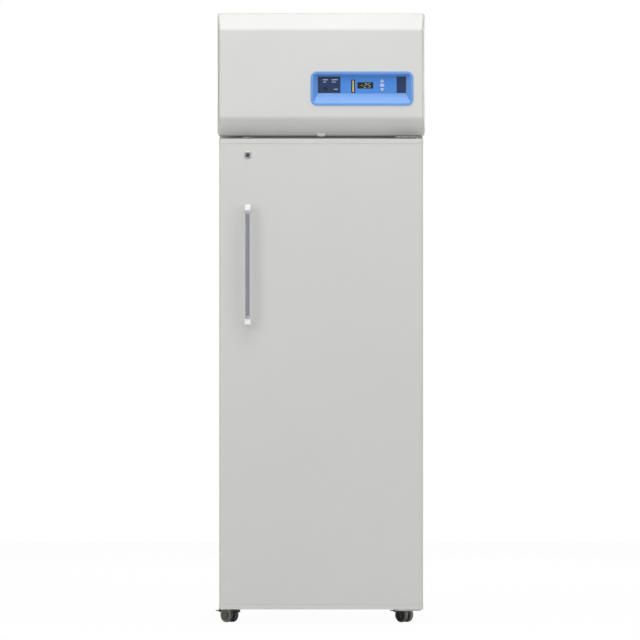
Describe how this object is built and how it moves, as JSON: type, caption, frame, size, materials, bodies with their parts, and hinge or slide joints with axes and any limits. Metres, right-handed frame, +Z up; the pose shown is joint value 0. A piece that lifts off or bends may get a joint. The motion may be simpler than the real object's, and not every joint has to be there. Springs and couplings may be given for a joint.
{
  "type": "laboratory freezer",
  "caption": "Upright laboratory freezer with one solid lockable door, a hinged top hood with a control panel over the refrigeration unit, shelves and casters.",
  "frame": {"origin": "on the floor, at the middle of the width and depth over the handle and rear bumpers", "axes": "+X to the right of someone facing the door, +Y to the back, +Z up"},
  "size_m": [0.6851, 0.946, 1.994],
  "materials": {
    "cabinet_enamel": "smooth light grey-white enamel",
    "door_enamel": "smooth light grey-white enamel",
    "insulation_foam": "closed-cell foam, matt",
    "liner_steel": "white coated sheet",
    "breaker_plastic": "matt light grey",
    "base_steel": "black powder coat",
    "bumper_rubber": "matt black",
    "shelf_steel": "white epoxy coat",
    "bright_steel": "bright drawn steel",
    "galvanised_steel": "galvanised sheet",
    "fin_aluminium": "mill finish fins",
    "fan_plastic": "matt black",
    "motor_steel": "dark grey",
    "filter_media": "pleated media in a card frame",
    "compressor_black": "black enamel",
    "copper": "bare copper tube",
    "inlet_plastic": "matt black with brass blades",
    "hood_plastic": "satin white",
    "panel_blue": "satin mid blue",
    "overlay_navy": "printed polyester film, blue with navy ends",
    "display_dark": "dark window",
    "key_plastic": "satin light blue",
    "cap_plastic": "satin, the door's colour",
    "gasket_vinyl": "soft grey vinyl",
    "hinge_steel": "plated steel",
    "handle_aluminium": "satin anodised",
    "inlay_grey": "matt dark blue-grey",
    "lock_chrome": "plated",
    "lock_core": "dark satin",
    "caster_steel": "zinc plate, dulled",
    "caster_plastic": "dark olive-grey",
    "tread": "grey-olive polyurethane"
  },
  "bodies": {
    "cabinet": {"cabinet_shell": "cabinet_enamel", "cabinet_foam": "insulation_foam", "cabinet_liner": "liner_steel", "breaker_frame": "breaker_plastic", "base_frame": "base_steel", "rear_bumpers": "bumper_rubber", "shelf_standards": "bright_steel", "shelf_clips": "bright_steel", "shelf_1": "shelf_steel", "shelf_2": "shelf_steel", "shelf_3": "shelf_steel", "shelf_4": "shelf_steel", "evaporator_cover": "liner_steel", "evaporator_coil": "fin_aluminium", "fan_motors": "motor_steel", "condenser_coil": "fin_aluminium", "condenser_shroud": "galvanised_steel", "air_filter": "filter_media", "compressor": "compressor_black", "compressor_grommets": "bumper_rubber", "refrigerant_lines": "copper", "control_box": "galvanised_steel", "machine_side_panels": "cabinet_enamel", "rear_grille": "cabinet_enamel", "power_inlet": "inlet_plastic", "hood_hinge": "galvanised_steel", "hinge_brackets": "hinge_steel", "lock_keeper": "hinge_steel", "caster_plates": "caster_steel", "rear_axle_brackets": "caster_steel"},
    "door": {"door_skin": "door_enamel", "door_liner": "breaker_plastic", "door_foam": "insulation_foam", "door_end_caps": "cap_plastic", "door_gasket": "gasket_vinyl", "handle_bar": "handle_aluminium", "handle_inlay": "inlay_grey", "door_fittings": "lock_chrome"},
    "lock_cylinder": {"lock_cylinder": "lock_core"},
    "lock_bolt": {"lock_bolt": "bright_steel"},
    "hood": {"hood_panel": "hood_plastic", "panel_bezel": "panel_blue", "panel_overlay": "overlay_navy", "display_module": "display_dark"},
    "up_key": {"up_key": "key_plastic"},
    "enter_key": {"enter_key": "key_plastic"},
    "down_key": {"down_key": "key_plastic"},
    "evaporator_fan": {"evaporator_fan": "fan_plastic"},
    "condenser_fan": {"condenser_fan": "fan_plastic"},
    "left_caster": {"left_caster_fork": "caster_plastic"},
    "right_caster": {"right_caster_fork": "caster_plastic"},
    "left_wheels": {"left_caster_wheels": "tread"},
    "right_wheels": {"right_caster_wheels": "tread"},
    "left_pedal": {"left_brake_pedal": "caster_plastic"},
    "right_pedal": {"right_brake_pedal": "caster_plastic"},
    "rear_wheels": {"rear_wheels": "tread"}
  },
  "joints": [
    {"name": "door_swing", "type": "hinge", "parent": "cabinet", "child": "door", "pos_m": [0.312, -0.402, 0.8], "axis": [0, 0, 1], "range_deg": [0, 110]},
    {"name": "lock_turn", "type": "hinge", "parent": "door", "child": "lock_cylinder", "pos_m": [-0.239, -0.427, 1.529], "axis": [0, -1, 0], "range_deg": [0, 90]},
    {"name": "bolt_slide", "type": "slide", "parent": "door", "child": "lock_bolt", "axis": [0, 0, 1], "range_m": [0, 0.01202]},
    {"name": "hood_swing", "type": "hinge", "parent": "cabinet", "child": "hood", "pos_m": [0, -0.312, 1.981], "axis": [-1, 0, 0], "range_deg": [0, 70]},
    {"name": "evaporator_fan_spin", "type": "hinge", "parent": "cabinet", "child": "evaporator_fan", "pos_m": [0, 0.06, 1.41], "axis": [0, 0, 1], "continuous": true},
    {"name": "condenser_fan_spin", "type": "hinge", "parent": "cabinet", "child": "condenser_fan", "pos_m": [-0.136, -0.2, 1.754], "axis": [0, 1, 0], "continuous": true},
    {"name": "rear_wheels_spin", "type": "hinge", "parent": "cabinet", "child": "rear_wheels", "pos_m": [0, 0.393, 0.025], "axis": [1, 0, 0], "continuous": true},
    {"name": "up_key_press", "type": "slide", "parent": "hood", "child": "up_key", "axis": [0, 1, 0], "range_m": [0, 0.001], "stiffness_N_per_m": 400, "springref_m": -0.0005},
    {"name": "enter_key_press", "type": "slide", "parent": "hood", "child": "enter_key", "axis": [0, 1, 0], "range_m": [0, 0.001], "stiffness_N_per_m": 400, "springref_m": -0.0005},
    {"name": "down_key_press", "type": "slide", "parent": "hood", "child": "down_key", "axis": [0, 1, 0], "range_m": [0, 0.001], "stiffness_N_per_m": 400, "springref_m": -0.0005},
    {"name": "left_caster_swivel", "type": "hinge", "parent": "cabinet", "child": "left_caster", "pos_m": [-0.287, -0.283, 0.06], "axis": [0, 0, 1], "continuous": true},
    {"name": "left_wheels_spin", "type": "hinge", "parent": "left_caster", "child": "left_wheels", "pos_m": [-0.30114, -0.26886, 0.025], "axis": [0.7071, 0.7071, 0], "continuous": true},
    {"name": "left_pedal_press", "type": "hinge", "parent": "left_caster", "child": "left_pedal", "pos_m": [-0.322, -0.248, 0.0365], "axis": [-0.7071, -0.7071, 0], "range_deg": [0, 12]},
    {"name": "right_caster_swivel", "type": "hinge", "parent": "cabinet", "child": "right_caster", "pos_m": [0.287, -0.283, 0.06], "axis": [0, 0, 1], "continuous": true},
    {"name": "right_wheels_spin", "type": "hinge", "parent": "right_caster", "child": "right_wheels", "pos_m": [0.27286, -0.26886, 0.025], "axis": [0.7071, 0.7071, 0], "continuous": true},
    {"name": "right_pedal_press", "type": "hinge", "parent": "right_caster", "child": "right_pedal", "pos_m": [0.252, -0.248, 0.0365], "axis": [-0.7071, -0.7071, 0], "range_deg": [0, 12]}
  ],
  "couplings": [
    {"joint": "lock_turn", "follows": "bolt_slide", "rad_per_m": 130.6}
  ]
}
